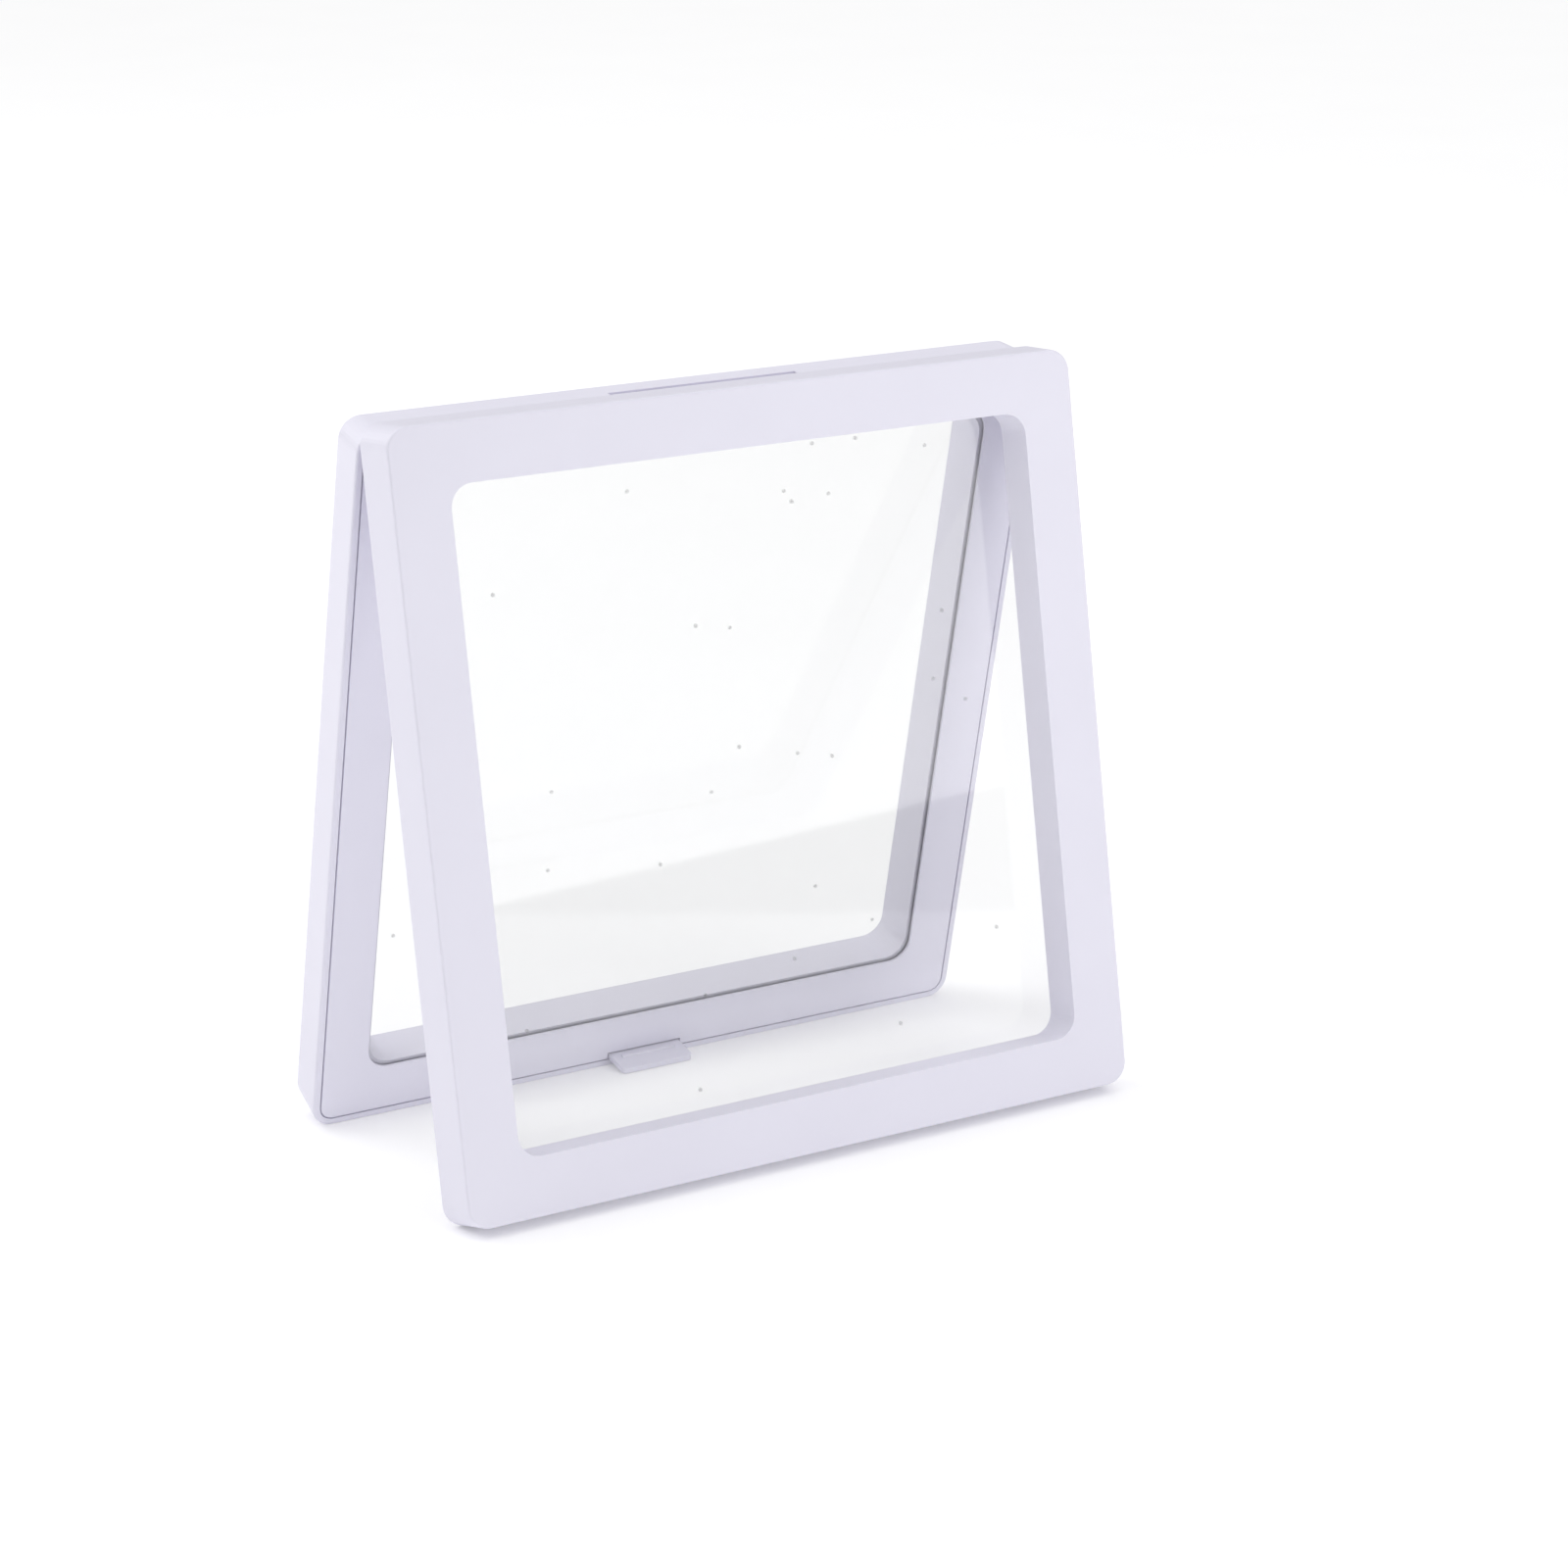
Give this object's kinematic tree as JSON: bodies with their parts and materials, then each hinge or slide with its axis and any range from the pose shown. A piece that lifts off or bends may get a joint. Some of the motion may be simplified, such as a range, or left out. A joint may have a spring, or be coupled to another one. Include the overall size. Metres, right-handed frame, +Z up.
{
  "type": "floating frame",
  "caption": "Hinged square display frame: two white halves, each with a clear elastic film, grip an object between them when shut and stand as an upside-down V when open.",
  "frame": {"origin": "centre of the footprint, on the surface that the open frame stands on", "axes": "+Z up, +X along the hinge, -Y towards the front half"},
  "size_m": [0.15, 0.078, 0.1486],
  "materials": {
    "shell_plastic": "satin moulded white with a faint lavender cast",
    "ring_plastic": "satin moulded white, same plastic as the shells",
    "clear_film": "clear glossy elastic film",
    "pin_steel": "plain drawn wire"
  },
  "bodies": {
    "back_half": {"back_shell": "shell_plastic", "back_retainer_ring": "ring_plastic", "back_film": "clear_film", "hinge_pin_left": "pin_steel", "hinge_pin_right": "pin_steel"},
    "front_half": {"front_shell": "shell_plastic", "front_retainer_ring": "ring_plastic", "front_film": "clear_film"}
  },
  "joints": [
    {"name": "front_half_hinge", "type": "hinge", "parent": "back_half", "child": "front_half", "pos_m": [0, 0.00016, 0.14532], "axis": [-1, 0, 0], "range_deg": [-22.8, 72.2]}
  ]
}
